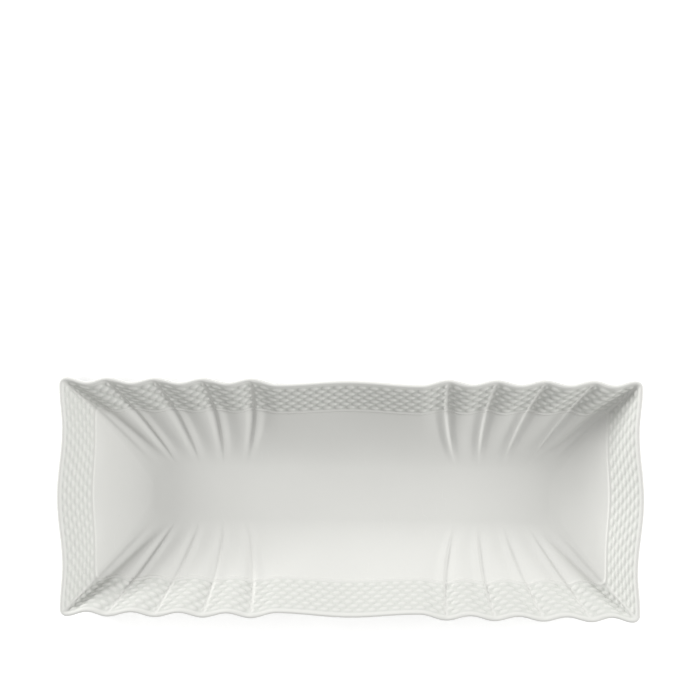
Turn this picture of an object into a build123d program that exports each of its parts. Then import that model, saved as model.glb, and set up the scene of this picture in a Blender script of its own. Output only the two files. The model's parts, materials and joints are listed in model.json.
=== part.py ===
from build123d import *
import math
import os

# A long fluted serving platter of glazed porcelain. Millimetres, Z up. The origin is
# on the table under the middle of the platter, X along its length.

# ---- overall size ----
LENGTH = 365.0  # over the bulge in the middle of each end
WIDTH = 150.0  # over the crests of the long sides
HEIGHT = 40.0  # from the table to the top of the lip

# ---- sections through the china ----
FOOT_HEIGHT = 3.5  # clearance under the floor
FLOOR_THICKNESS = 4.5  # with its glaze
LIP_THICKNESS = 2.4  # with its glaze, where the wall ends in a half round
GLAZE = 0.35  # one fired coat

# ---- plan of the dished inside ----
FLOOR_WIDTH = 34.0  # flat floor, side to side
CORNER_RADIUS_RIM = 4.5
CORNER_RADIUS_FLOOR = 13.0

# ---- border band and the wall below it ----
BAND_SHARE = 0.32  # of the way in from the rim to the floor, at the border's inner edge
BAND_DROP = 19.0  # height lost across the border
WALL_CURVE = 1.7  # power of the wall's curve; 1 would be a straight slope
UNDER_EDGE = 0.86  # of the way down, where the outside meets the flat underside
UNDER_SWELL = 6  # power with which the wall thickens towards that edge

# ---- lines down the wall, as shares of half the length: at the rim, at the point that
# pulls the line into a curve halfway down, and at the floor ----
PANEL_CREASE = (0.335, 0.322, 0.370)  # first crease, at the end of the plain panel
CORNER_CREASE = (0.991, 0.838, 0.689)
END_LINE = (1.0, 0.853, 0.685)  # down the middle of an end

# ---- flutes of the long sides, between the first crease and the corner ----
FLUTES = 4
FLUTE_CROWDING = 1.04  # over 1, the creases crowd towards the panel halfway down
FLUTE_WAVE = 2.8  # how far the rim comes in between two crests
FLUTE_END = 0.9  # of the way down, where the flutes have died out
CREASE_RIDGE = 1.4  # raised line down the inside of each crease
CREASE_WIDTH = 0.18  # of a flute, on either side of the crease

# ---- slow wave of the middle panel and of the ends ----
PANEL_VALLEY_AT = 0.73  # of the half panel
PANEL_VALLEY = 3.4
PANEL_BULGE = 1.1  # what the middle of the panel still lies inside the crests
END_VALLEY_AT = 0.6  # of the half width
END_VALLEY = 3.0
END_CORNER = 1.0  # what the corners lie inside the bulge
END_FADES = 2.0  # times as fast as on the long sides, the waves of the ends die out

# ---- foot ring ----
FOOT_LENGTH = LENGTH * 0.715
FOOT_SPAN = FLOOR_WIDTH + 14.0
FOOT_RING_WIDTH = 5.0
FOOT_CORNER = 20.0
BARE_FOOT = 1.0  # height of the unglazed edge above the table
FOOT_EDGE = 0.8  # rounding of the standing edge

# ---- derived ----
FLOOR_TOP = FOOT_HEIGHT + FLOOR_THICKNESS
WALL_RISE = HEIGHT - FLOOR_TOP - BAND_DROP
WALL_PLAN = (WIDTH - FLOOR_WIDTH) / 2

# Where the sections across the wall are taken, from the rim (0) to the floor (1).
WALL_STEPS = [0.0, 0.1, 0.21, BAND_SHARE, 0.41, 0.5, 0.6, 0.7, 0.8, 0.88, 0.95, 1.0]
LIP_STEPS = 6

# Where points are taken across a flute, from one crease (0) to the next (1).
FLUTE_STEPS = [0, CREASE_WIDTH, 0.5, 1 - CREASE_WIDTH]
FOOT_TOP = FLOOR_TOP - 1.5  # the ring is drawn up to there, inside the floor


def ease(a, b, share):
    """From a to b along a half cosine, as share goes from 0 to 1."""
    return a + (b - a) * (1 - math.cos(math.pi * share)) / 2


def bezier(start, pull, end, t):
    return start * (1 - t) ** 2 + 2 * pull * t * (1 - t) + end * t**2


def fade(t):
    """How strong the waves of the rim still are, t of the way down to the floor."""
    return max(0, 1 - (t / FLUTE_END) ** 2) ** 1.5


def face_height(t):
    """Height of the inside face: a straight border band, then a curved wall."""
    if t < BAND_SHARE:
        return HEIGHT - BAND_DROP * t / BAND_SHARE
    return FLOOR_TOP + WALL_RISE * ((1 - t) / (1 - BAND_SHARE)) ** WALL_CURVE


def lean(t):
    """Angle of the inside face over the horizontal."""
    if t < BAND_SHARE:
        return math.atan(BAND_DROP / (BAND_SHARE * WALL_PLAN))
    left = (1 - t) / (1 - BAND_SHARE)
    rise = WALL_CURVE * WALL_RISE * left ** (WALL_CURVE - 1)
    return math.atan(rise / ((1 - BAND_SHARE) * WALL_PLAN))


def thickness(t):
    return LIP_THICKNESS + (FLOOR_THICKNESS - LIP_THICKNESS) * t


LIP_ROUND = LIP_THICKNESS / 2
LIP_BORDER = LIP_ROUND * (1 + math.sin(lean(0)))  # plan width of the plain lip


def down(line, t):
    """Distance from the middle of the platter, t of the way down one of the lines."""
    rim, pull, floor = line
    return LENGTH / 2 * bezier(rim, pull, floor, t)


def crease(n, t):
    """X of crease n, which may lie between two creases, t of the way to the floor."""
    share = n / FLUTES
    shares = (share, share**FLUTE_CROWDING, share)
    line = [a + (b - a) * s for a, b, s in zip(PANEL_CREASE, CORNER_CREASE, shares)]
    return down(line, t)


def quarter(t, ridge):
    """Plan points of one quarter, from the long side to the end.

    ridge is how far the raised line of a crease comes in at this height.
    """
    y_side = WIDTH / 2 + (FLOOR_WIDTH - WIDTH) / 2 * t
    x_corner = crease(FLUTES, t)
    radius = CORNER_RADIUS_RIM + (CORNER_RADIUS_FLOOR - CORNER_RADIUS_RIM) * t**2
    x_arc = x_corner - radius
    y_arc = y_side - radius
    points = []
    for share in (0, 0.25, 0.5, PANEL_VALLEY_AT, 0.9):
        if share < PANEL_VALLEY_AT:
            inward = ease(PANEL_BULGE, PANEL_VALLEY, share / PANEL_VALLEY_AT)
        else:
            rest = (share - PANEL_VALLEY_AT) / (1 - PANEL_VALLEY_AT)
            inward = ease(PANEL_VALLEY, 0, rest)
        points.append((share * crease(0, t), y_side - inward * fade(t)))
    for n in range(FLUTES):
        x_from = crease(n, t)
        x_to = crease(n + 1, t) if n + 1 < FLUTES else x_arc
        for share in FLUTE_STEPS:
            inward = FLUTE_WAVE * ease(0, 1, 2 * share) * fade(t)
            if share == 0:
                inward += ridge
            points.append((x_from + (x_to - x_from) * share, y_side - inward))
    for step in range(5):
        turn = math.radians(90 - 22.5 * step)
        points.append((x_arc + radius * math.cos(turn), y_arc + radius * math.sin(turn)))
    x_middle = down(END_LINE, t)
    left = fade(END_FADES * t)
    for share in (0.8, END_VALLEY_AT, 0.4, 0.2, 0):
        if share < END_VALLEY_AT:
            inward = ease(0, END_VALLEY, share / END_VALLEY_AT)
        else:
            rest = (share - END_VALLEY_AT) / (1 - END_VALLEY_AT)
            inward = ease(END_VALLEY, END_CORNER, rest)
        across = x_middle + (x_corner + END_CORNER * left - x_middle) * share**2
        points.append((across - inward * left, y_arc * share))
    return points


def outline(t, out, z, ridge=0.0):
    """Closed plan outline t of the way to the floor, moved outwards by out."""
    first = quarter(t, ridge)
    second = [(x, -y) for x, y in reversed(first[:-1])]
    half = first + second
    other = [(-x, y) for x, y in reversed(half[1:-1])]
    ring = half + other
    moved = []
    for i, (x, y) in enumerate(ring):
        x0, y0 = ring[i - 1]
        x1, y1 = ring[(i + 1) % len(ring)]
        run = math.hypot(x1 - x0, y1 - y0)
        moved.append((x - out * (y1 - y0) / run, y + out * (x1 - x0) / run, z))
    return moved


def section(t, depth, ridge=0.0):
    """(t, out, z, ridge) of the face that lies depth behind the inside face."""
    out = depth * math.sin(lean(t)) - LIP_BORDER * (1 - t)
    top = face_height(t) - LIP_ROUND * (1 - math.cos(lean(0))) * (1 - t)
    return t, out, top - depth * math.cos(lean(t)), ridge


def profile(skin):
    """Sections of the face that lies skin under the glazed surface."""
    inside = []
    for t in reversed(WALL_STEPS):
        ridge = CREASE_RIDGE * math.sin(math.pi * min(t / FLUTE_END, 1))
        inside.append(section(t, skin, ridge))
    lip = []
    for step in range(1, LIP_STEPS):
        turn = math.pi / 2 + lean(0) - math.pi * step / LIP_STEPS
        out = LIP_ROUND * math.sin(lean(0)) - LIP_BORDER + (LIP_ROUND - skin) * math.cos(turn)
        z = HEIGHT - LIP_ROUND + (LIP_ROUND - skin) * math.sin(turn)
        lip.append((0.0, out, z, 0.0))
    swell = section(UNDER_EDGE, thickness(UNDER_EDGE) - skin)[2] - FOOT_HEIGHT - skin
    outside = []
    for step in WALL_STEPS:
        t = step * UNDER_EDGE
        _, out, z, _ = section(t, thickness(t) - skin)
        outside.append((t, out, z - swell * step**UNDER_SWELL, 0.0))
    return inside + lip + outside


def spacing():
    """Shared spline parameters: the mean distance round the rim and the floor."""
    rings = [outline(t, 0, 0) for t in (0, BAND_SHARE, 1)]
    total = 0.0
    marks = [total]
    for i in range(len(rings[0])):
        for ring in rings:
            x0, y0, _ = ring[i]
            x1, y1, _ = ring[(i + 1) % len(ring)]
            total += math.hypot(x1 - x0, y1 - y0) / len(rings)
        marks.append(total)
    return marks


MARKS = spacing()


def dish(skin):
    """The dished shape, skin under the glazed surface, as one closed solid."""
    rings = []
    for t, out, z, ridge in profile(skin):
        points = outline(t, out, z, ridge)
        edge = Edge.make_spline(points, periodic=True, parameters=MARKS)
        rings.append(Wire([edge]))
    return Solid.make_loft(rings)


def foot(skin, bottom):
    """The foot ring, skin under its glazed flanks, from bottom up into the floor."""
    outside = RectangleRounded(FOOT_LENGTH - 2 * skin, FOOT_SPAN - 2 * skin, FOOT_CORNER - skin)
    inner = FOOT_RING_WIDTH - skin
    inside = RectangleRounded(
        FOOT_LENGTH - 2 * inner, FOOT_SPAN - 2 * inner, FOOT_CORNER - inner
    )
    ring = extrude(outside - inside, amount=FOOT_TOP - bottom)
    return Pos(0, 0, bottom) * ring


glazed_dish = dish(0)
porcelain_body = dish(GLAZE)

standing = foot(GLAZE, 0)
standing = fillet(standing.edges().group_by(Axis.Z)[0], FOOT_EDGE)
foot_ring = standing - porcelain_body

glazed_all = glazed_dish + foot(0, BARE_FOOT)
glaze = glazed_all - porcelain_body - foot_ring
glaze_coat, recess_glaze = glaze.solids().sort_by(SortBy.VOLUME, reverse=True)

nodes = {
    "porcelain_body": porcelain_body,
    "foot_ring": foot_ring,
    "glaze_coat": glaze_coat,
    "recess_glaze": recess_glaze,
}
os.makedirs("parts", exist_ok=True)
for name, shape in nodes.items():
    export_step(shape, f"parts/{name}.step")
    print(name, round(shape.volume), "mm3", shape.bounding_box())
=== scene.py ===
# %% [markdown]
# # A fluted porcelain serving platter
#
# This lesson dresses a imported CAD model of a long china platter. The CAD model gives
# the real size and place of each piece. Blender adds what the CAD leaves plain: the
# woven relief pressed into the border, the bead inside it, the glaze and the bare clay
# of the foot. Lengths are in metres, X runs along the platter and Z points up.

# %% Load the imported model
import json
import math

import bmesh
import bpy
import numpy as np
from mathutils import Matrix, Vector

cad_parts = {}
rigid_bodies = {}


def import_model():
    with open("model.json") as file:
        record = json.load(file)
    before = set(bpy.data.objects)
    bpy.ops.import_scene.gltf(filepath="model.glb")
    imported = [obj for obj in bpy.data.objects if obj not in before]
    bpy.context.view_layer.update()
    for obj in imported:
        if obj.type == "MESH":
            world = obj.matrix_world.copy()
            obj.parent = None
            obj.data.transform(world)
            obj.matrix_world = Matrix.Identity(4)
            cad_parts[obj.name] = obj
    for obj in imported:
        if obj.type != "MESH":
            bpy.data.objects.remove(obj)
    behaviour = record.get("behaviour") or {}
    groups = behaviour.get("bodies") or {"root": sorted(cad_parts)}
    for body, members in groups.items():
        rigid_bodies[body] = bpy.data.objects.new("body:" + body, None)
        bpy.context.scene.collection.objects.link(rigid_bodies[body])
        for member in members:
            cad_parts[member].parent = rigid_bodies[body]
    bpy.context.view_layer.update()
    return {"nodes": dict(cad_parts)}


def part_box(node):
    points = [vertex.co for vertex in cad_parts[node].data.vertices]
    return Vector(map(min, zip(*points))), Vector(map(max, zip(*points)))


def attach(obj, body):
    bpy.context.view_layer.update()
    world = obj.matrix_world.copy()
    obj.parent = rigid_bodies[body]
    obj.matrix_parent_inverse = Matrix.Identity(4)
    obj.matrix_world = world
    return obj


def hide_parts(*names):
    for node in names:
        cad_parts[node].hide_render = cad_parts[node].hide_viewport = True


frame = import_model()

MM = 0.001

# %% [markdown]
# ## The shape of the dish
#
# The real platter is pressed in a mould, so its inside is one smooth surface. It could
# be sculpted, or made from a few curves and a subdivision modifier, but the relief has
# to follow the flutes and the border exactly. So the surface is worked out by formula.
# Every point has two coordinates: `place`, which runs round a quarter of the platter,
# and `t`, which runs from the rim (0) down the wall to the flat floor (1).

# %% Overall sizes, read from the CAD nodes
glaze_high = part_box("glaze_coat")[1]
foot_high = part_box("foot_ring")[1]
LENGTH = 2 * glaze_high.x
WIDTH = 2 * glaze_high.y
RIM_HEIGHT = glaze_high.z
GLAZE = 0.35 * MM
FLOOR_TOP = 8.0 * MM
FLOOR_THICKNESS = 4.5 * MM
LIP_THICKNESS = 2.4 * MM
print("platter", round(LENGTH / MM, 1), "x", round(WIDTH / MM, 1), "mm")

# %% The slope from the rim to the floor
FLOOR_WIDTH = 34.0 * MM
BAND_SHARE = 0.32
BAND_DROP = 19.0 * MM
WALL_CURVE = 1.7
WALL_RISE = RIM_HEIGHT - FLOOR_TOP - BAND_DROP
WALL_PLAN = (WIDTH - FLOOR_WIDTH) / 2
UNDER_EDGE = 0.86
UNDER_SWELL = 6


def face_height(t):
    """Height of the inside face: a straight border, then a curved wall."""
    left = np.clip((1 - t) / (1 - BAND_SHARE), 0, 1)
    return np.where(
        t < BAND_SHARE,
        RIM_HEIGHT - BAND_DROP * t / BAND_SHARE,
        FLOOR_TOP + WALL_RISE * left**WALL_CURVE,
    )


def lean(t):
    """Angle of the inside face over the horizontal."""
    left = np.clip((1 - t) / (1 - BAND_SHARE), 0, 1)
    rise = WALL_CURVE * WALL_RISE * left ** (WALL_CURVE - 1) / (1 - BAND_SHARE)
    return np.arctan(np.where(t < BAND_SHARE, BAND_DROP / BAND_SHARE, rise) / WALL_PLAN)


LIP_ROUND = LIP_THICKNESS / 2
RIM_LEAN = float(lean(0.0))
LIP_BORDER = LIP_ROUND * (1 + math.sin(RIM_LEAN))
print("rim leans", round(math.degrees(RIM_LEAN)), "degrees")

# %% [markdown]
# The long sides have four flutes at each end and a plain panel between them. In plan
# each crease is a curve: it fans out towards the rim and turns back a little at the
# floor. Three numbers per crease, at the rim, halfway and at the floor, give a Bezier
# curve, and numbers between two creases give the places inside a flute.

# %% Creases, corners and waves in plan
PANEL_CREASE = (0.335, 0.322, 0.370)
CORNER_CREASE = (0.991, 0.838, 0.689)
END_LINE = (1.0, 0.853, 0.685)
FLUTES = 4
FLUTE_CROWDING = 1.04
FLUTE_WAVE = 2.8 * MM
FLUTE_END = 0.9
PANEL_VALLEY_AT = 0.73
PANEL_VALLEY = 3.4 * MM
PANEL_BULGE = 1.1 * MM
END_VALLEY_AT = 0.6
END_VALLEY = 3.0 * MM
END_CORNER = 1.0 * MM
END_FADES = 2.0
CORNER_RADIUS_RIM = 4.5 * MM
CORNER_RADIUS_FLOOR = 13.0 * MM
CORNER_FROM = 1 + FLUTES
END_FROM = CORNER_FROM + 1
END_MIDDLE = END_FROM + 1


def ease(a, b, share):
    """From a to b along a half cosine, as share goes from 0 to 1."""
    return a + (b - a) * (1 - np.cos(np.pi * np.clip(share, 0, 1))) / 2


def two_waves(share, turn, first, valley, last):
    """From first to valley at share = turn, then on to last at share = 1."""
    outer = (share - turn) / (1 - turn)
    return np.where(share < turn, ease(first, valley, share / turn), ease(valley, last, outer))


def bezier(start, pull, end, t):
    return start * (1 - t) ** 2 + 2 * pull * t * (1 - t) + end * t**2


def fade(t):
    """How strong the waves of the rim still are, t of the way down to the floor."""
    return np.clip(1 - (t / FLUTE_END) ** 2, 0, 1) ** 1.5


def side_y(t):
    """Y of the crests of a long side."""
    return WIDTH / 2 + (FLOOR_WIDTH - WIDTH) / 2 * t


def crease(n, t):
    """X of crease n, which may lie between two creases."""
    share = n / FLUTES
    shares = (share, share**FLUTE_CROWDING, share)
    line = [a + (b - a) * s for a, b, s in zip(PANEL_CREASE, CORNER_CREASE, shares)]
    return LENGTH / 2 * bezier(*line, t)


def quarter(place, t):
    """Plan of the inside face, from the middle of a long side to the middle of an end."""
    y_side = side_y(t)
    x_corner = crease(FLUTES, t)
    radius = CORNER_RADIUS_RIM + (CORNER_RADIUS_FLOOR - CORNER_RADIUS_RIM) * t**2
    x_arc = x_corner - radius
    y_arc = y_side - radius

    panel = np.clip(place, 0, 1)
    inward = two_waves(panel, PANEL_VALLEY_AT, PANEL_BULGE, PANEL_VALLEY, 0) * fade(t)
    x = panel * crease(0, t)
    y = y_side - inward

    flute = np.clip(place - 1, 0, FLUTES - 1e-9)
    n = np.floor(flute)
    share = flute - n
    x_to = np.where(n + 1 < FLUTES, crease(n + 1, t), x_arc)
    inward = FLUTE_WAVE * (1 - np.cos(2 * np.pi * share)) / 2 * fade(t)
    on_flute = (place >= 1) & (place < CORNER_FROM)
    x = np.where(on_flute, crease(n, t) + (x_to - crease(n, t)) * share, x)
    y = np.where(on_flute, y_side - inward, y)

    turn = np.pi / 2 * (1 - np.clip(place - CORNER_FROM, 0, 1))
    on_corner = (place >= CORNER_FROM) & (place < END_FROM)
    x = np.where(on_corner, x_arc + radius * np.cos(turn), x)
    y = np.where(on_corner, y_arc + radius * np.sin(turn), y)

    share = 1 - np.clip(place - END_FROM, 0, 1)
    inward = two_waves(share, END_VALLEY_AT, 0, END_VALLEY, END_CORNER) * fade(END_FADES * t)
    x_middle = LENGTH / 2 * bezier(*END_LINE, t)
    across = x_middle + (x_corner + END_CORNER * fade(END_FADES * t) - x_middle) * share**2
    on_end = place >= END_FROM
    x = np.where(on_end, across - inward, x)
    y = np.where(on_end, y_arc * share, y)
    return x, y


# %% [markdown]
# ## Columns and rows
#
# The mesh is a grid: columns run down the wall, rows run round the platter. The weave
# has the same size all round, so the columns are spaced evenly along the middle of the
# border, close enough together to draw each small pillow of the weave.

# %% Even columns round the border
WEAVE_PITCH = 7.5 * MM
COLUMNS_PER_PITCH = 14
MID_BAND = 0.16

fine = np.linspace(0, END_MIDDLE, 6001)
fine_x, fine_y = quarter(fine, MID_BAND)
run = np.concatenate([[0], np.cumsum(np.hypot(np.diff(fine_x), np.diff(fine_y)))])
strands = round(run[-1] / (WEAVE_PITCH / 2))
columns_in_quarter = strands * COLUMNS_PER_PITCH // 2
even_run = np.linspace(0, run[-1], columns_in_quarter + 1)
places = np.interp(even_run, run, fine)


def all_round(first_x, first_y):
    """Mirrors one quarter's points into the whole ring, clockwise from the far side."""
    half_x = np.concatenate([first_x, first_x[-2::-1]])
    half_y = np.concatenate([first_y, -first_y[-2::-1]])
    ring_x = np.concatenate([half_x, -half_x[-2:0:-1]])
    ring_y = np.concatenate([half_y, half_y[-2:0:-1]])
    return ring_x, ring_y


def mirrored(values):
    """One quarter's values repeated round the whole ring."""
    half = np.concatenate([values, values[-2::-1]])
    return np.concatenate([half, half[-2:0:-1]])


COLUMNS = len(mirrored(places))
print(COLUMNS, "columns,", strands, "strands of weave in a quarter")


def outline(t, out):
    """Plan of the whole ring t of the way down, moved outwards by out."""
    x, y = all_round(*quarter(places, t))
    dx = np.roll(x, -1) - np.roll(x, 1)
    dy = np.roll(y, -1) - np.roll(y, 1)
    step = np.hypot(dx, dy)
    return x - out * dy / step, y + out * dx / step


def below_face(t, depth):
    """Height of the point that lies depth behind the inside face."""
    top = face_height(t) - LIP_ROUND * (1 - math.cos(RIM_LEAN)) * (1 - t)
    return float(top - depth * np.cos(lean(t)))


def wall_row(t, depth):
    """One row of the inside face, or of the clay depth below it."""
    x, y = outline(t, depth * np.sin(lean(t)) - LIP_BORDER * (1 - t))
    return np.column_stack([x, y, np.full(COLUMNS, below_face(t, depth))])


def thickness(t):
    return LIP_THICKNESS + (FLOOR_THICKNESS - LIP_THICKNESS) * t


def outside_row(t, skin):
    """One row of the outside, which swells out to meet the flat underside."""
    depth = thickness(t) - skin
    x, y = outline(t, depth * np.sin(lean(t)) - LIP_BORDER * (1 - t))
    flat = FLOOR_TOP - FLOOR_THICKNESS + skin
    swell = below_face(UNDER_EDGE, thickness(UNDER_EDGE) - skin) - flat
    z = below_face(t, depth) - swell * (t / UNDER_EDGE) ** UNDER_SWELL
    return np.column_stack([x, y, np.full(COLUMNS, z if t < UNDER_EDGE else flat)])


def lip_row(turn, skin):
    """One row round the half-round lip; turn goes from 0 (inside) to 1 (outside)."""
    angle = np.pi / 2 + RIM_LEAN - np.pi * turn
    radius = LIP_ROUND - skin
    out = LIP_ROUND * math.sin(RIM_LEAN) - LIP_BORDER + radius * math.cos(angle)
    x, y = outline(0.0, out)
    z = RIM_HEIGHT - LIP_ROUND + radius * math.sin(angle)
    return np.column_stack([x, y, np.full(COLUMNS, z)])


# %% [markdown]
# ## The relief
#
# The mould gives the border a basketwork of oval pillows. They lie in seven rows, like
# bricks: each row is shifted by half a pillow. A bead closes the border, and folds run
# down every crease. A bump map would only shade them. Here they are real relief: each
# point of the face is moved straight out of it, by up to two millimetres.

# %% The folds of the fluted wall
# Across one flute the wall rises to a narrow ridge on the crease, drops steeply into a
# valley, swells to a broad pillow and falls slowly back to the next crease. The shares
# count from one crease outwards to the next, and the last crease is the corner.
FOLD_HEIGHT = 1.1 * MM
FOLD_IN_BORDER = 0.3
FOLDS_FADE_FROM = 0.6
RIDGE_AT = -0.08
VALLEY_AT = 0.04
PILLOW_AT = 0.27
PILLOW_TOP = 0.75
DIP_AT = 0.66
RIDGE_TOPS = (1.0, 1.0, 0.9, 0.75)
CORNER_RIDGE_TOP = 0.45
CORNER_MIDDLE = (CORNER_FROM + END_FROM) / 2
FOLD_LINES = [1, 2, 3, 4, CORNER_MIDDLE]

FAR_AWAY = 4 * FLUTES
fold_at = [-FLUTES, DIP_AT - 1]
fold_top = [0, 0]
for n in range(FLUTES):
    fold_at += [n + RIDGE_AT, n + VALLEY_AT, n + PILLOW_AT, n + DIP_AT]
    fold_top += [RIDGE_TOPS[n], 0, PILLOW_TOP, 0]
fold_at = np.array(fold_at + [FLUTES + RIDGE_AT, FLUTES + VALLEY_AT, FAR_AWAY])
fold_top = np.array(fold_top + [CORNER_RIDGE_TOP, 0, 0])


def row_run(t):
    """Distance along a quarter of a row, at every column and at the fold lines."""
    x, y = quarter(places, t)
    run = np.concatenate([[0], np.cumsum(np.hypot(np.diff(x), np.diff(y)))])
    return run, np.interp(FOLD_LINES, places, run)


def folds(t):
    """Height of the folds over the plain wall, all round one row."""
    run, lines = row_run(t)
    flute = np.interp(run, lines, np.arange(FLUTES + 1))
    flute += np.minimum(run - lines[0], 0) / (lines[1] - lines[0])
    flute += np.maximum(run - lines[-1], 0) / (lines[-1] - lines[-2])
    k = np.searchsorted(fold_at, flute, side="right") - 1
    share = (flute - fold_at[k]) / (fold_at[k + 1] - fold_at[k])
    top = ease(fold_top[k], fold_top[k + 1], share)
    grown = ease(FOLD_IN_BORDER, 1, t / BAND_SHARE)
    gone = ease(0, 1, (t - FOLDS_FADE_FROM) / (1 - FOLDS_FADE_FROM))
    return FOLD_HEIGHT * grown * (1 - gone) * mirrored(top)


def beside_crease(t):
    """Distance of every column from the nearest crease or corner, along its row."""
    run, lines = row_run(t)
    return mirrored(np.min(np.abs(run[:, None] - lines[None, :]), axis=1))


# %% The basketwork and the bead
WEAVE_ROWS = 7
WEAVE_INNER = 0.302
WEAVE_OUTER = 0.02
WEAVE_HEIGHT = 0.7 * MM
PILLOW_HALF_LENGTH = 0.76  # of half a pitch
PILLOW_HALF_WIDTH = 1.02  # of half a row, so that neighbours meet
PILLOW_ROUNDNESS = 0.7
BEAD_HEIGHT = 0.8 * MM
BEAD_HALF_WIDTH = 0.013  # in t, like the two edges of the weave
PLAIN_BESIDE_CREASE = 0.4 * MM
WEAVE_FADES_OVER = 1.8 * MM


def pitches_along(t):
    """How many pillows fit between the middle of each side and every column."""
    x, y = quarter(places, t)
    side = places < CORNER_MIDDLE
    return mirrored(np.where(side, x, y) / WEAVE_PITCH)


def basketwork(rows_in, pitches):
    """Pattern of one row of points: 0 in the hollows, 1 on top of a pillow."""
    tops = np.zeros(COLUMNS)
    for row in range(WEAVE_ROWS):
        across = (2 * (rows_in - row) - 1) / PILLOW_HALF_WIDTH
        turns = pitches + 0.5 * row
        along = 2 * (turns - np.round(turns)) / PILLOW_HALF_LENGTH
        round_top = np.clip(1 - across**2 - along**2, 0, 1) ** PILLOW_ROUNDNESS
        tops = np.maximum(tops, round_top)
    return tops


def relief(t):
    """Height over the plain face, and depth of the hollows (0 to 1), for one row."""
    away = beside_crease(t)
    woven = ease(0, 1, (away - PLAIN_BESIDE_CREASE) / WEAVE_FADES_OVER)
    rows_in = (WEAVE_INNER - t) / (WEAVE_INNER - WEAVE_OUTER) * WEAVE_ROWS
    tops = basketwork(rows_in, pitches_along(t))
    bead = BEAD_HEIGHT * math.exp(-(((t - BAND_SHARE) / BEAD_HALF_WIDTH) ** 2))
    hollow = woven * (1 - tops) if 0 <= rows_in <= WEAVE_ROWS else 0 * woven
    return folds(t) + bead + WEAVE_HEIGHT * woven * tops, hollow


# %% Rows of the inside face, from the floor's edge up to the lip
WALL_ROWS = 44
BEAD_ROWS = 14
ROWS_PER_STRAND = 7
BORDER_ROWS = 4
BEAD_ZONE = 0.035
bead_from = BAND_SHARE + BEAD_ZONE
inside_t = np.concatenate([
    np.linspace(1, bead_from, WALL_ROWS, endpoint=False),
    np.linspace(bead_from, WEAVE_INNER, BEAD_ROWS, endpoint=False),
    np.linspace(WEAVE_INNER, WEAVE_OUTER, WEAVE_ROWS * ROWS_PER_STRAND, endpoint=False),
    np.linspace(WEAVE_OUTER, 0, BORDER_ROWS + 1),
])
plain = np.stack([wall_row(t, 0.0) for t in inside_t])
heights, hollows = np.stack([relief(t) for t in inside_t]).swapaxes(0, 1)
along = np.roll(plain, -1, axis=1) - np.roll(plain, 1, axis=1)
upward = np.gradient(plain, axis=0)
normal = np.cross(upward, along)
normal /= np.linalg.norm(normal, axis=2, keepdims=True)
if normal[0, 0, 2] < 0:
    normal = -normal
inside = plain + normal * heights[:, :, None]
print("inside rows", len(inside_t), "relief up to", round(heights.max() / MM, 2), "mm")

# %% [markdown]
# ## Over the lip, down the outside and round the foot
#
# Outside, the wall follows the inside at the wall's thickness and has no weave. Under
# the floor it meets the ring that the platter stands on, with a small hollow where the
# glaze has pooled. The glaze runs down the ring and stops just above the table, because
# the standing edge is wiped clean before firing.

# %% The foot's outline, for every column
FOOT_HALF_X = foot_high.x + GLAZE
FOOT_HALF_Y = foot_high.y + GLAZE
FOOT_CORNER = 20.0 * MM
POOL_RADIUS = 1.2 * MM
UNDER_FROM = 0.7
FLAT_FROM = 0.25


def nearest_core(points):
    """The nearest point of the rectangle whose rounding is the foot's outline."""
    core = np.array([FOOT_HALF_X - FOOT_CORNER, FOOT_HALF_Y - FOOT_CORNER])
    return np.clip(points[:, :2], -core, core)


def foot_distance(points):
    """How far each point lies outside the foot's glazed flank."""
    away = points[:, :2] - nearest_core(points)
    return np.hypot(away[:, 0], away[:, 1]) - FOOT_CORNER


def under_rows(skin):
    """Rows of the outside, from the lip down to the foot's flank."""
    outside_t = np.linspace(0, UNDER_FROM, OUTSIDE_ROWS, endpoint=False)
    rows = [outside_row(t, skin) for t in outside_t]
    search_t = np.linspace(UNDER_FROM, 1, SEARCH_STEPS)
    search = np.stack([outside_row(t, skin) for t in search_t])
    clear = np.stack([foot_distance(row) for row in search]) > POOL_RADIUS
    stop = np.maximum(clear.cumprod(axis=0).sum(axis=0) - 1, 1)
    for share in np.linspace(0, 1, UNDER_ROWS):
        at = share * stop
        low = np.minimum(at.astype(int), SEARCH_STEPS - 2)
        mix = (at - low)[:, None]
        column = np.arange(COLUMNS)
        rows.append(search[low, column] * (1 - mix) + search[low + 1, column] * mix)
    return rows


def foot_rows(last, skin):
    """Rows from the underside through the glaze's pool and down the foot's flank."""
    core = nearest_core(last)
    away = last[:, :2] - core
    away /= np.hypot(away[:, 0], away[:, 1])[:, None]

    def row(out, z):
        reach = np.zeros(COLUMNS) + FOOT_CORNER - skin + out
        return np.column_stack([core + away * reach[:, None], z])

    top = last[:, 2]
    gap = foot_distance(last)
    rows = []
    for share in np.linspace(FLAT_FROM, 1, FLAT_ROWS):
        rows.append(row(gap + (POOL_RADIUS - gap) * share, top))
    for turn in np.linspace(0, np.pi / 2, POOL_ROWS)[1:]:
        out = POOL_RADIUS * (1 - math.sin(turn))
        rows.append(row(out, top - POOL_RADIUS * (1 - math.cos(turn))))
    for share in np.linspace(0, 1, FLANK_ROWS)[1:]:
        low = top - POOL_RADIUS
        rows.append(row(0, low + (GLAZE_STOP - low) * share))
    return rows


# %% The whole glazed surface
OUTSIDE_ROWS = 34
UNDER_ROWS = 12
SEARCH_STEPS = 160
FLAT_ROWS = 4
POOL_ROWS = 6
FLANK_ROWS = 4
LIP_ROWS = 10
GLAZE_STOP = 1.1 * MM
FLOOR_RINGS = 12

lip = [lip_row(turn, 0.0) for turn in np.linspace(0, 1, LIP_ROWS + 1)[1:-1]]
under = under_rows(0.0)
flank = foot_rows(under[-1], 0.0)
print("outside rows", len(lip) + len(under) + len(flank))


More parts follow.
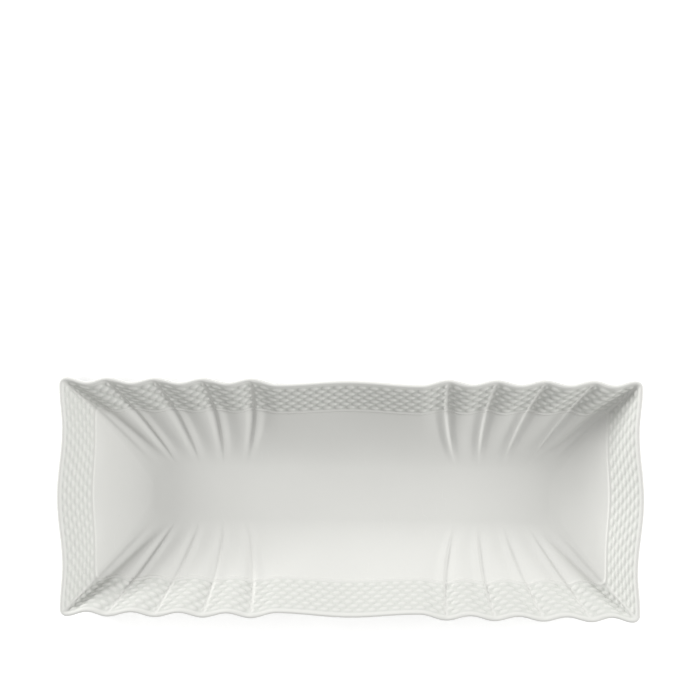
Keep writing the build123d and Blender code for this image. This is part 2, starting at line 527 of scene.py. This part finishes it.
def floor_rings(edge, rings):
    """Rows from the middle line of the floor out to its edge."""
    reach = edge[:, 0].max() - edge[:, 1].max()
    middle = edge.copy()
    middle[:, 0] = np.clip(edge[:, 0], -reach, reach)
    middle[:, 1] = 0
    return [middle + (edge - middle) * share for share in np.linspace(0, 1, rings + 1)[:-1]]


# %% The clay body under the glaze
SKIN_ROWS = 31
SKIN_LIP_TURNS = (0.25, 0.5, 0.75)


def skin_rows():
    """The clay's own surface under the glaze, from the floor over the lip to below."""
    rows = [wall_row(t, GLAZE) for t in np.linspace(1, 0, SKIN_ROWS)]
    rows += [lip_row(turn, GLAZE) for turn in SKIN_LIP_TURNS]
    return rows + [outside_row(t, GLAZE) for t in np.linspace(0, 1, SKIN_ROWS)]


clay_skin = skin_rows()
clay_rows = floor_rings(clay_skin[0], FLOOR_RINGS) + clay_skin
clay_rows += floor_rings(clay_skin[-1], FLOOR_RINGS)[::-1]
print("rows in the clay body:", len(clay_rows))

# %% The glaze as a closed shell: outer face, stopping edge, inner face
EDGE_DROP = 0.1 * MM
stop_edge = foot_rows(under[-1], GLAZE * 0.5)[-1]
stop_edge[:, 2] -= EDGE_DROP
flank_inside = foot_rows(under[-1], GLAZE)[-1]
flank_top = flank_inside.copy()
flank_top[:, 2] = under[-1][:, 2] + 2 * GLAZE
rows_outside = round(UNDER_FROM * (SKIN_ROWS - 1)) + 1
shared_rows = SKIN_ROWS + len(SKIN_LIP_TURNS) + rows_outside
back = clay_skin[:shared_rows][::-1]
outer_rows = floor_rings(inside[0], FLOOR_RINGS) + list(inside) + lip + under + flank
inner_rows = [flank_inside, flank_top] + back + floor_rings(back[-1], FLOOR_RINGS)[::-1]
glaze_rows = outer_rows + [stop_edge] + inner_rows
print("rows in the glaze's shell:", len(glaze_rows))


# %% [markdown]
# ## From rows to meshes
#
# The glaze is a thin coat, so it is a closed shell: over the inside, round the lip, down
# the outside, and back along the clay. The rows are joined by quads, and where rows run
# together, as on the middle line of the floor, their points are welded. An open or
# doubled surface would not export as a solid, so the open edges are counted.

# %% Turn rows into a mesh
def mesh_from_rows(name, rows):
    """A closed tube of rows; points that fall together are welded."""
    points = np.concatenate(rows)
    count = len(rows)
    first = np.arange(count - 1)[:, None] * COLUMNS
    near = np.arange(COLUMNS)[None, :]
    far = np.roll(near, -1, axis=1)
    quads = np.stack([first + near, first + far, first + COLUMNS + far, first + COLUMNS + near], 2)
    mesh = bpy.data.meshes.new(name)
    mesh.from_pydata(points.tolist(), [], quads.reshape(-1, 4).tolist())
    piece = bpy.data.objects.new(name, mesh)
    bpy.context.scene.collection.objects.link(piece)
    return piece


def weld(piece, gap):
    """Joins points nearer than gap, and turns every face outwards."""
    shape = bmesh.new()
    shape.from_mesh(piece.data)
    bmesh.ops.remove_doubles(shape, verts=shape.verts, dist=gap)
    bmesh.ops.dissolve_degenerate(shape, edges=shape.edges, dist=gap)
    bmesh.ops.recalc_face_normals(shape, faces=shape.faces)
    loose = [v for v in shape.verts if not v.link_faces]
    bmesh.ops.delete(shape, geom=loose, context="VERTS")
    open_edges = sum(1 for e in shape.edges if len(e.link_faces) != 2)
    shape.to_mesh(piece.data)
    shape.free()
    piece.data.shade_smooth()
    print(piece.name, len(piece.data.polygons), "faces,", open_edges, "open edges")


WELD_GAP = 0.003 * MM
# The depth of the weave's hollows is stored for the glaze material. It darkens them there as
# painted shade, with a greener tint of pooled glaze.
HOLLOW_NAME = "pooled_tint_and_shade"
glaze_coat = mesh_from_rows("glaze_coat_relief", glaze_rows)
pooled_and_shaded = np.zeros((len(glaze_rows), COLUMNS))
pooled_and_shaded[FLOOR_RINGS:FLOOR_RINGS + len(inside_t)] = hollows
depth_marks = glaze_coat.data.attributes.new(HOLLOW_NAME, "FLOAT", "POINT")
depth_marks.data.foreach_set("value", pooled_and_shaded.ravel())
weld(glaze_coat, WELD_GAP)
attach(glaze_coat, "root")
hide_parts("glaze_coat")

clay_body = mesh_from_rows("porcelain_body_shape", clay_rows)
weld(clay_body, WELD_GAP)
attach(clay_body, "root")
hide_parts("porcelain_body")

# %% [markdown]
# ## Groups of nodes that several finishes share
#
# Glaze, clay and wear each come back in more than one material, so each effect is a
# node group with named inputs and outputs. A group is like a function: the noise is set
# up once, and every material places it with its own values. The groups only hand out
# numbers. The shader itself stays in the material.

# %% Helpers for node trees
def new_node(tree, kind, values=None, **settings):
    """Adds a node, with its own settings and the values of its inputs."""
    made = tree.nodes.new(kind)
    for name, value in settings.items():
        setattr(made, name, value)
    for name, value in (values or {}).items():
        made.inputs[name].default_value = value
    return made


def arithmetic(tree, operation, first, second):
    """A Math node; first and second are sockets or plain numbers."""
    made = new_node(tree, "ShaderNodeMath", operation=operation)
    for socket, value in zip(made.inputs, (first, second)):
        if isinstance(value, (int, float)):
            socket.default_value = value
        else:
            tree.links.new(value, socket)
    return made.outputs[0]


def noise(tree, scale, detail=2.0):
    """Noise over the piece in metres; scale is a socket or a number, per metre."""
    where = new_node(tree, "ShaderNodeTexCoord")
    made = new_node(tree, "ShaderNodeTexNoise", {"Detail": detail})
    tree.links.new(where.outputs["Object"], made.inputs["Vector"])
    if isinstance(scale, (int, float)):
        made.inputs["Scale"].default_value = scale
    else:
        tree.links.new(scale, made.inputs["Scale"])
    return made.outputs["Fac"]


def step_mask(tree, value, low, high):
    """0 where value is under low, 1 over high, smooth between."""
    made = new_node(tree, "ShaderNodeMapRange", {"From Min": low, "From Max": high})
    made.interpolation_type = "SMOOTHSTEP"
    tree.links.new(value, made.inputs["Value"])
    return made.outputs["Result"]


def new_group(name, inputs, outputs):
    """An empty node group with named number sockets."""
    group = bpy.data.node_groups.new(name, "ShaderNodeTree")
    for label, value in inputs.items():
        socket = group.interface.new_socket(label, in_out="INPUT", socket_type="NodeSocketFloat")
        socket.default_value = value
    for label in outputs:
        group.interface.new_socket(label, in_out="OUTPUT", socket_type="NodeSocketFloat")
    start = group.nodes.new("NodeGroupInput").outputs
    end = group.nodes.new("NodeGroupOutput").inputs
    return group, start, end


# %% The glaze's own unevenness
# Clouds are thicker and thinner patches of glaze, specks are pinholes and iron spots,
# and the ripple is the faint orange peel of a glaze that flowed while it was hot.
SPECK_SCALE = 620.0
SPECK_FROM, SPECK_TO = 0.79, 0.83
GLOSS_SCALE = 55.0
glaze_group, start, end = new_group(
    "fired_glaze",
    {"Cloud Scale": 22.0, "Cloud Depth": 0.03, "Speck Depth": 0.15, "Ripple Scale": 170.0},
    ["Tone", "Gloss", "Ripple"],
)
cloud = noise(glaze_group, start["Cloud Scale"], detail=4.0)
speck_noise = noise(glaze_group, SPECK_SCALE, detail=1.0)
speck = step_mask(glaze_group, speck_noise, SPECK_FROM, SPECK_TO)
centred = arithmetic(glaze_group, "SUBTRACT", cloud, 0.5)
clouding = arithmetic(glaze_group, "MULTIPLY", centred, start["Cloud Depth"])
specking = arithmetic(glaze_group, "MULTIPLY", speck, start["Speck Depth"])
tone = arithmetic(glaze_group, "ADD", 1.0, clouding)
glaze_group.links.new(arithmetic(glaze_group, "SUBTRACT", tone, specking), end["Tone"])
glaze_group.links.new(noise(glaze_group, GLOSS_SCALE, detail=3.0), end["Gloss"])
glaze_group.links.new(noise(glaze_group, start["Ripple Scale"]), end["Ripple"])

# %% Marks of use
# Knives, forks and stacked plates leave hairlines in the gloss. Bands of a strongly
# bent wave are cut down to thin lines, and a slow noise decides where they are.
LINE_FROM = 0.985
PATCH_SCALE = 30.0
PATCH_FROM, PATCH_TO = 0.5, 0.62
marks_group, start, end = new_group(
    "hairline_marks", {"Spread": 0.5, "Line Scale": 60.0}, ["Mark"]
)
where = new_node(marks_group, "ShaderNodeTexCoord")
lines = new_node(
    marks_group, "ShaderNodeTexWave", {"Distortion": 14.0, "Detail": 3.0, "Detail Scale": 0.6}
)
marks_group.links.new(where.outputs["Object"], lines.inputs["Vector"])
marks_group.links.new(start["Line Scale"], lines.inputs["Scale"])
thin = step_mask(marks_group, lines.outputs["Fac"], LINE_FROM, 1.0)
patch = step_mask(marks_group, noise(marks_group, PATCH_SCALE), PATCH_FROM, PATCH_TO)
mark = arithmetic(marks_group, "MULTIPLY", thin, patch)
marks_group.links.new(arithmetic(marks_group, "MULTIPLY", mark, start["Spread"]), end["Mark"])

# %% The grain of unglazed clay
# Bare porcelain is matt and very fine, with a few dark specks. Where it stands on
# tables it greys, so the stain grows towards Z = 0.
CLAY_SPECK_SCALE = 700.0
CLAY_SPECK_FROM, CLAY_SPECK_TO = 0.73, 0.8
STAIN_SCALE = 120.0
GRAIN_SHADE = 0.12
clay_group, start, end = new_group(
    "clay_grain",
    {"Grain Scale": 900.0, "Speck Depth": 0.3, "Stain Depth": 0.0, "Stain Height": 0.0012},
    ["Tone", "Grain"],
)
grain = noise(clay_group, start["Grain Scale"], detail=5.0)
speck_noise = noise(clay_group, CLAY_SPECK_SCALE, detail=1.0)
speck = step_mask(clay_group, speck_noise, CLAY_SPECK_FROM, CLAY_SPECK_TO)
specking = arithmetic(clay_group, "MULTIPLY", speck, start["Speck Depth"])
place = new_node(clay_group, "ShaderNodeNewGeometry")
height = new_node(clay_group, "ShaderNodeSeparateXYZ")
clay_group.links.new(place.outputs["Position"], height.inputs["Vector"])
share = arithmetic(clay_group, "DIVIDE", height.outputs["Z"], start["Stain Height"])
near_table = arithmetic(clay_group, "SUBTRACT", 1.0, step_mask(clay_group, share, 0.0, 1.0))
stain_noise = noise(clay_group, STAIN_SCALE, detail=4.0)
patchy = arithmetic(clay_group, "MULTIPLY", near_table, stain_noise)
stain = arithmetic(clay_group, "MULTIPLY", patchy, start["Stain Depth"])
tone = arithmetic(clay_group, "MULTIPLY", grain, GRAIN_SHADE)
tone = arithmetic(clay_group, "ADD", tone, 1 - GRAIN_SHADE / 2)
tone = arithmetic(clay_group, "SUBTRACT", tone, specking)
clay_group.links.new(arithmetic(clay_group, "SUBTRACT", tone, stain), end["Tone"])
clay_group.links.new(grain, end["Grain"])
print("node groups:", sorted(group.name for group in bpy.data.node_groups))


# %% [markdown]
# ## The finishes
#
# The china is white under a clear gloss glaze. In the hollows of the weave its colour is
# darker and a little greener: partly the tint of pooled glaze, partly painted shade. A flat
# white would look like plastic, so the colour follows the hollows of the weave, the gloss
# varies in slow patches, and the surface ripples by a few hundredths of a millimetre.

# %% A function for glazed finishes
def tinted(tree, colour, tone):
    """colour times tone, as a colour socket."""
    made = new_node(tree, "ShaderNodeMix", data_type="RGBA", blend_type="MULTIPLY")
    made.inputs["Factor"].default_value = 1.0
    sockets = [socket for socket in made.inputs if socket.type == "RGBA"]
    if isinstance(colour, tuple):
        sockets[0].default_value = colour
    else:
        tree.links.new(colour, sockets[0])
    tree.links.new(tone, sockets[1])
    return [socket for socket in made.outputs if socket.type == "RGBA"][0]


def bumped(tree, shader, height, distance):
    """Feeds a height, in shares of distance, to the shader's normal."""
    bump = new_node(tree, "ShaderNodeBump", {"Distance": distance})
    tree.links.new(height, bump.inputs["Height"])
    tree.links.new(bump.outputs["Normal"], shader.inputs["Normal"])


def glazed_finish(name, thin, pooled_and_shaded_colour, rough, glaze_values, spread):
    """White china under clear glaze; the second colour goes in the weave's hollows: a pooled-glaze
    tint plus painted shade.
    """
    finish = bpy.data.materials.new(name)
    finish.use_nodes = True
    tree = finish.node_tree
    shader = tree.nodes["Principled BSDF"]
    uneven = new_node(tree, "ShaderNodeGroup", node_tree=glaze_group)
    for label, value in glaze_values.items():
        uneven.inputs[label].default_value = value
    marks = new_node(tree, "ShaderNodeGroup", node_tree=marks_group)
    marks.inputs["Spread"].default_value = spread

    # The hollows of the weave get the darker colour: painted shade, with a little greener tint of
    # pooled glaze.
    pooled_and_shaded = new_node(tree, "ShaderNodeAttribute", attribute_name=HOLLOW_NAME)
    colour = new_node(tree, "ShaderNodeMix", data_type="RGBA")
    ends = [socket for socket in colour.inputs if socket.type == "RGBA"]
    ends[0].default_value = thin
    ends[1].default_value = pooled_and_shaded_colour
    tree.links.new(pooled_and_shaded.outputs["Fac"], colour.inputs["Factor"])
    mixed = [socket for socket in colour.outputs if socket.type == "RGBA"][0]
    tree.links.new(tinted(tree, mixed, uneven.outputs["Tone"]), shader.inputs["Base Color"])

    dull = arithmetic(tree, "MULTIPLY", uneven.outputs["Gloss"], GLOSS_SPREAD)
    dull = arithmetic(tree, "ADD", dull, rough - GLOSS_SPREAD / 2)
    scuffed = arithmetic(tree, "MULTIPLY", marks.outputs["Mark"], SCUFF)
    tree.links.new(arithmetic(tree, "ADD", dull, scuffed), shader.inputs["Roughness"])
    bumped(tree, shader, uneven.outputs["Ripple"], GLAZE_RIPPLE)
    return finish


GLAZE_RIPPLE = 0.05 * MM
GLOSS_SPREAD = 0.1
SCUFF = 0.14
white_glaze = glazed_finish(
    "white_glaze",
    thin=(0.73, 0.73, 0.70, 1),
    # Colour of the weave's hollows: painted shade plus a greener tint of pooled glaze.
    pooled_and_shaded_colour=(0.66, 0.67, 0.635, 1),
    rough=0.18,
    glaze_values={"Cloud Scale": 22.0, "Cloud Depth": 0.06, "Speck Depth": 0.08},
    spread=0.6,
)
recess_finish = glazed_finish(
    "recess_glaze",
    thin=(0.70, 0.70, 0.665, 1),
    pooled_and_shaded_colour=(0.66, 0.67, 0.635, 1),
    rough=0.24,
    glaze_values={"Cloud Scale": 35.0, "Cloud Depth": 0.1, "Speck Depth": 0.3},
    spread=0.2,
)


# %% A function for bare clay
def clay_finish(name, colour, rough, grain_values):
    """Unglazed fired porcelain, matt and finely grained."""
    finish = bpy.data.materials.new(name)
    finish.use_nodes = True
    tree = finish.node_tree
    shader = tree.nodes["Principled BSDF"]
    shader.inputs["Specular IOR Level"].default_value = 0.3
    clay = new_node(tree, "ShaderNodeGroup", node_tree=clay_group)
    for label, value in grain_values.items():
        clay.inputs[label].default_value = value
    tree.links.new(tinted(tree, colour, clay.outputs["Tone"]), shader.inputs["Base Color"])
    dull = arithmetic(tree, "MULTIPLY", clay.outputs["Grain"], CLAY_ROUGH_SPREAD)
    tree.links.new(arithmetic(tree, "ADD", dull, rough), shader.inputs["Roughness"])
    bumped(tree, shader, clay.outputs["Grain"], CLAY_GRAIN)
    return finish


CLAY_GRAIN = 0.08 * MM
CLAY_ROUGH_SPREAD = 0.2
bare_foot = clay_finish(
    "bare_foot",
    colour=(0.62, 0.59, 0.53, 1),
    rough=0.65,
    grain_values={"Grain Scale": 900.0, "Speck Depth": 0.35, "Stain Depth": 0.45},
)
clay_under_glaze = clay_finish(
    "clay_under_glaze",
    colour=(0.70, 0.68, 0.63, 1),
    rough=0.7,
    grain_values={"Grain Scale": 500.0, "Speck Depth": 0.15},
)

# %% Put the finishes on the pieces
def finish_node(name, finish):
    """A CAD node keeps its shape and gets a finish in place of its own."""
    node = frame["nodes"][name]
    node.data.materials.clear()
    node.data.materials.append(finish)


glaze_coat.data.materials.append(white_glaze)
clay_body.data.materials.append(clay_under_glaze)
finish_node("foot_ring", bare_foot)
finish_node("recess_glaze", recess_finish)
for name in ("foot_ring", "recess_glaze"):
    print(name, "is a CAD solid with", frame["nodes"][name].data.materials[0].name)

# %% [markdown]
# ## The table
#
# A plain pale table top. A single large square is enough, because it only catches soft
# shadows and throws light back up under the rim. A little light of its own keeps it
# white without changing how the platter is lit.

# %% Table top
TABLE_HALF = 30.0
corners = [(-TABLE_HALF, -TABLE_HALF, 0), (TABLE_HALF, -TABLE_HALF, 0)]
corners += [(TABLE_HALF, TABLE_HALF, 0), (-TABLE_HALF, TABLE_HALF, 0)]
table_mesh = bpy.data.meshes.new("table")
table_mesh.from_pydata(corners, [], [(0, 1, 2, 3)])
table = bpy.data.objects.new("table", table_mesh)
bpy.context.scene.collection.objects.link(table)

pale = bpy.data.materials.new("table_top")
pale.use_nodes = True
shader = pale.node_tree.nodes["Principled BSDF"]
shader.inputs["Base Color"].default_value = (0.95, 0.95, 0.95, 1)
shader.inputs["Roughness"].default_value = 0.9
shader.inputs["Specular IOR Level"].default_value = 0.0
shader.inputs["Emission Color"].default_value = (1, 1, 1, 1)
shader.inputs["Emission Strength"].default_value = 0.32
table_mesh.materials.append(pale)

# %% [markdown]
# ## Light
#
# White china on white shows its shape only through shading, so the light does the
# drawing. A low softbox at the far left rakes across the relief and leaves the far right
# corner in shade. A broader one on the right fills the shadows, and a bright surround
# keeps them open. A small share of the right-hand light is also mirrored in the glaze;
# the rest is hidden from reflections, as a photographer does with a diffusing tent.

# %% Surround and softboxes
world = bpy.data.worlds.new("studio")
bpy.context.scene.world = world
world.use_nodes = True
surround = world.node_tree.nodes["Background"]
surround.inputs["Color"].default_value = (1, 1, 1, 1)
surround.inputs["Strength"].default_value = 0.48
LIGHT_DISTANCE = 4.0


def softbox(name, direction, size, irradiance, mirrored_in_glaze):
    """A rectangular studio light aimed at the platter."""
    lamp = bpy.data.lights.new(name, "AREA")
    lamp.shape = "RECTANGLE"
    lamp.size, lamp.size_y = size
    lamp.energy = irradiance * math.pi * LIGHT_DISTANCE**2
    box = bpy.data.objects.new(name, lamp)
    way = Vector(direction).normalized()
    box.location = way * LIGHT_DISTANCE
    box.rotation_euler = way.to_track_quat("Z", "Y").to_euler()
    box.visible_glossy = mirrored_in_glaze
    bpy.context.scene.collection.objects.link(box)
    print(name, "stands", round(math.degrees(math.asin(way.z))), "degrees up")


softbox("key_left", (-0.84, 0.46, 0.26), (1.1, 1.0), 2.95, False)
softbox("fill_right", (0.86, 0.1, 0.43), (1.6, 1.6), 1.75, False)
softbox("gloss_right", (0.86, 0.1, 0.43), (1.0, 2.4), 0.4, True)

# %% [markdown]
# ## A net under the rim
#
# The low lights that draw the relief would burn out the outside of the walls. A studio
# holds such light back with a net on a frame. This one hangs in a ring under the rim,
# so it shades the outside only. It isn't part of the platter and isn't seen itself.

# %% Net
NET_FOOT = 1.0 * MM
NET_TOP = RIM_HEIGHT - 2.5 * MM
NET_PASSES = 0.25
net_x, net_y = outline(0.0, 0.0)
net_rows = [np.column_stack([net_x, net_y, np.full(COLUMNS, z)]) for z in (NET_FOOT, NET_TOP)]
net = mesh_from_rows("net", net_rows)
net.visible_camera = False
net.visible_diffuse = False
net.visible_glossy = False

gauze = bpy.data.materials.new("gauze")
gauze.use_nodes = True
passes = new_node(gauze.node_tree, "ShaderNodeBsdfTransparent")
passes.inputs["Color"].default_value = (NET_PASSES, NET_PASSES, NET_PASSES, 1)
gauze_output = gauze.node_tree.nodes["Material Output"]
gauze.node_tree.links.new(passes.outputs["BSDF"], gauze_output.inputs["Surface"])
net.data.materials.append(gauze)

# %% [markdown]
# ## Camera
#
# The camera looks almost straight down from about a metre, with a lens that fills the
# width of the picture with the platter. It leans a little to one side, so that the
# inside of the near and far walls show slightly different widths.

# %% Camera
camera_data = bpy.data.cameras.new("camera")
camera_data.lens = 88
camera_data.sensor_width = 36
camera = bpy.data.objects.new("camera", camera_data)
camera.location = (0.035, 0.1392, 1.095)
camera.rotation_euler = [math.radians(angle) for angle in (-2.5, 1.9, 0.3)]
bpy.context.scene.collection.objects.link(camera)
bpy.context.scene.camera = camera
bpy.context.scene.view_settings.view_transform = "Standard"
